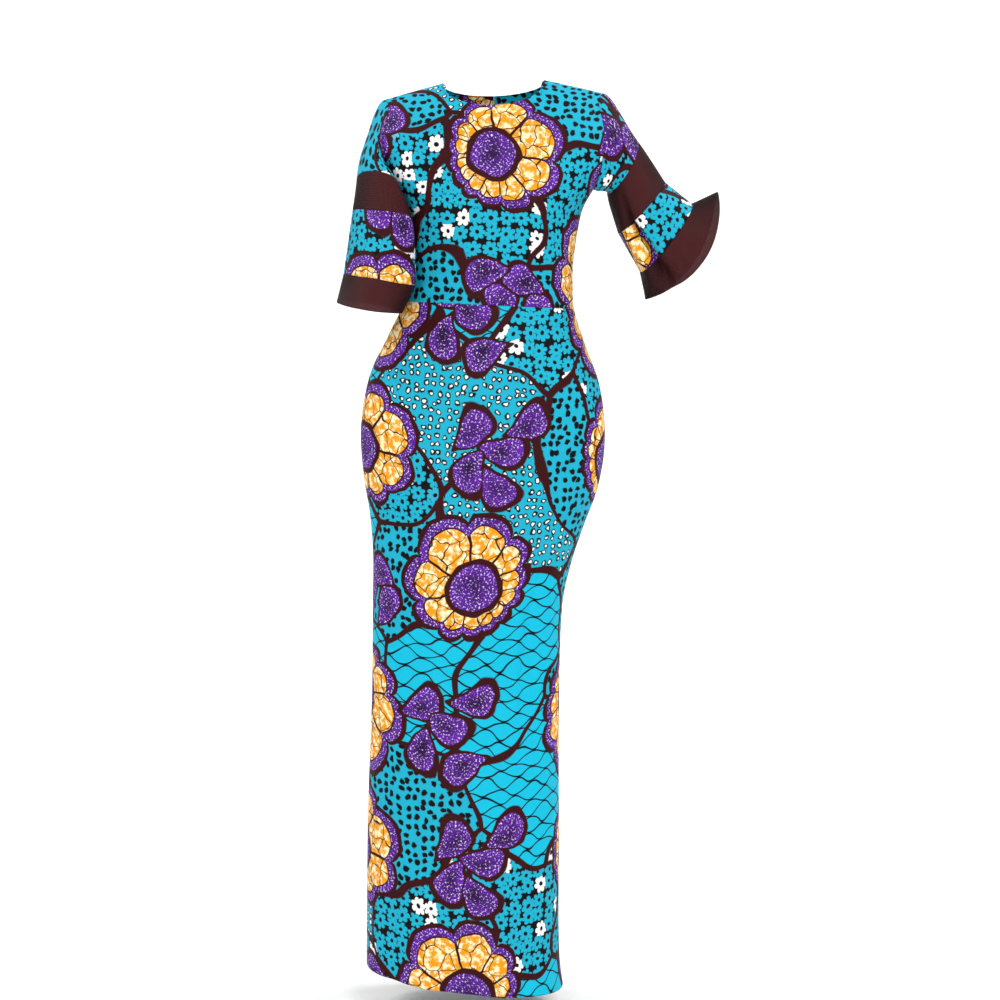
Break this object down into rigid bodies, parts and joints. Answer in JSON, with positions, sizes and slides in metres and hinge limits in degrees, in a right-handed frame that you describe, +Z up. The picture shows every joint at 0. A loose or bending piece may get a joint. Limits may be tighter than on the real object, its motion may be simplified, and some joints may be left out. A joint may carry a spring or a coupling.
{
  "type": "wax print dress",
  "caption": "Floor-length fitted wax print dress in its worn, hollow shape, with a round neck, a waist seam and elbow bell sleeves with sheer dark inset bands.",
  "frame": {"origin": "midway between the two shoulder seams, where a wearer carries the dress", "axes": "+Z up, -Y the wearer's front, +X the wearer's left"},
  "size_m": [0.5936, 0.2902, 1.4325],
  "materials": {
    "wax_print": "plain-woven cotton with a slight wax sheen, printed in turquoise, purple, gold and dark brown",
    "sheer_mesh": "fine sheer dark brown mesh",
    "zip_tape": "woven polyester tape",
    "zip_metal": "antiqued brass"
  },
  "bodies": {
    "root": {"bodice_front": "wax_print", "bodice_back_right": "wax_print", "bodice_back_left": "wax_print", "skirt_front": "wax_print", "skirt_back_right": "wax_print", "skirt_back_left": "wax_print", "sleeve_right_cap": "wax_print", "sleeve_right_mesh_inset": "sheer_mesh", "sleeve_right_printed_band": "wax_print", "sleeve_right_mesh_cuff": "sheer_mesh", "sleeve_left_cap": "wax_print", "sleeve_left_mesh_inset": "sheer_mesh", "sleeve_left_printed_band": "wax_print", "sleeve_left_mesh_cuff": "sheer_mesh", "zip_tape_right": "zip_tape", "zip_tape_left": "zip_tape", "zip_slider": "zip_metal"},
    "pull": {"zip_pull": "zip_metal"}
  },
  "joints": [
    {"name": "zip_pull_swing", "type": "hinge", "parent": "root", "child": "pull", "pos_m": [0, 0.07142, -0.02512], "axis": [1, 0, 0], "range_deg": [0, 115]}
  ]
}
